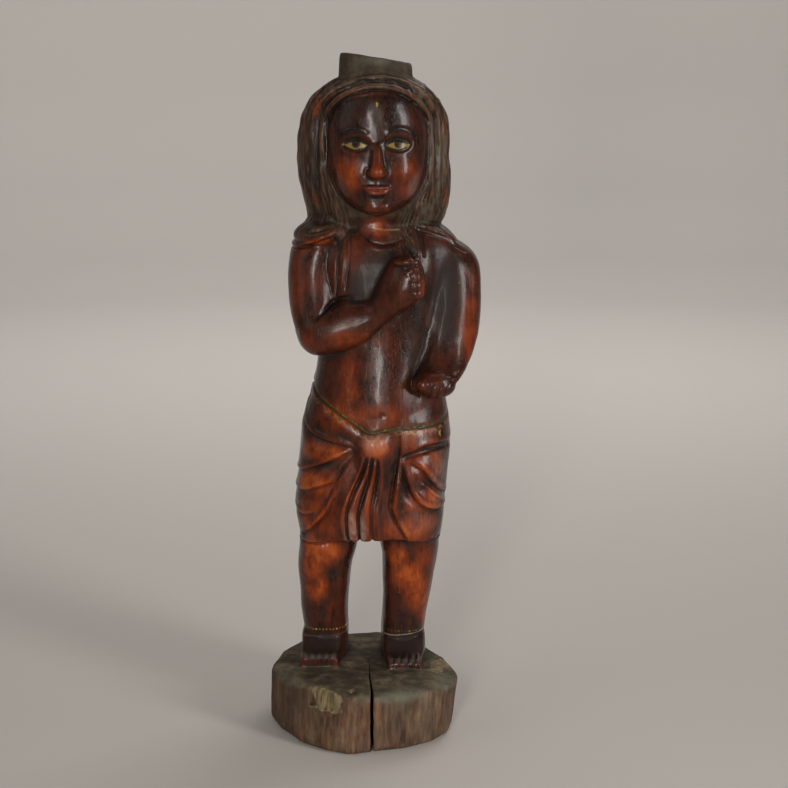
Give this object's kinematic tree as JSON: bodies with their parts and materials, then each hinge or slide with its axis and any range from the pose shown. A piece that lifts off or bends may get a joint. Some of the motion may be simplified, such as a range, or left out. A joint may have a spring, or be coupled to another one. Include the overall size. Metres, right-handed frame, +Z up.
{
  "type": "wooden statue",
  "caption": "Carved wooden standing figure in a loincloth, one fist on the chest and one on the belly, on the log plinth it is cut from.",
  "frame": {"origin": "middle of the plinth's underside, where the statue stands", "axes": "+Z up; the figure looks along -Y, and +X is to the right of a person facing it"},
  "size_m": [0.2301, 0.2098, 0.724],
  "materials": {
    "carved_wood": "dark red-brown varnish worn to orange, with a bare weathered plinth"
  },
  "bodies": {
    "root": {"statue": "carved_wood"}
  },
  "joints": []
}
